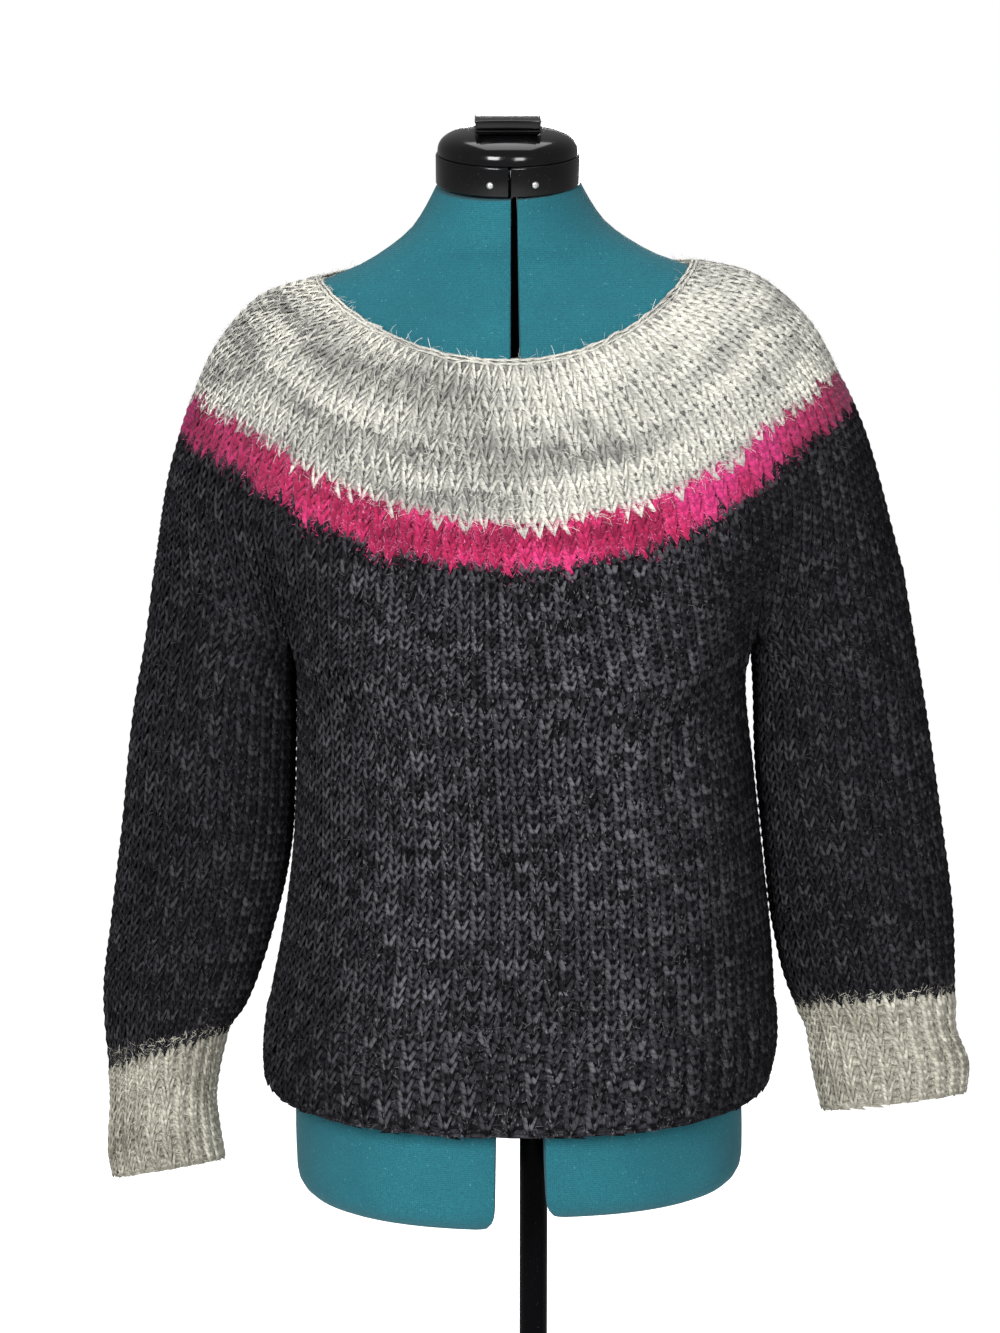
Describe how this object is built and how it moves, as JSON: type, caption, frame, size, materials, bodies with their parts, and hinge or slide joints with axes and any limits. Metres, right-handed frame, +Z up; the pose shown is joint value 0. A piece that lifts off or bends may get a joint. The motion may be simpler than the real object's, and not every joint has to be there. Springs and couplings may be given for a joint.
{
  "type": "striped sweater on a dress form",
  "caption": "Hand-knitted round-yoke pullover with a marled yoke, one bright stripe and charcoal body, worn by a limbless dress form on a pole and four-legged base.",
  "frame": {"origin": "on the floor, at the bottom centre of the bounding box", "axes": "+Z up, -Y towards the front of the garment, +X to the right as seen from the front"},
  "size_m": [0.6098, 0.3912, 1.4438],
  "materials": {
    "marled_mohair": "marled grey and cream mohair stockinette, brushed",
    "stripe_mohair": "magenta and pink brushed wool stockinette",
    "charcoal_knit": "charcoal heathered chunky stockinette",
    "charcoal_rib": "charcoal heathered rib",
    "marled_rib": "warm grey marled rib",
    "form_cover": "fine teal jersey over foam",
    "neck_black": "glossy black plastic",
    "screw_steel": "bright screw head",
    "stand_plastic": "matt black plastic",
    "stand_metal": "black painted steel"
  },
  "bodies": {
    "root": {"yoke": "marled_mohair", "stripe": "stripe_mohair", "lower_yoke": "charcoal_knit", "front": "charcoal_knit", "back": "charcoal_knit", "sleeve_left": "charcoal_knit", "sleeve_right": "charcoal_knit", "hem": "charcoal_rib", "cuff_left": "marled_rib", "cuff_right": "marled_rib", "form_left": "form_cover", "form_right": "form_cover", "neck_ring": "neck_black", "neck_cap": "neck_black", "knob_plate": "neck_black", "knob": "neck_black", "neck_screw_1": "screw_steel", "neck_screw_2": "screw_steel", "carrier": "stand_plastic", "collar": "stand_plastic", "pole": "stand_metal", "base": "stand_metal"}
  },
  "joints": []
}
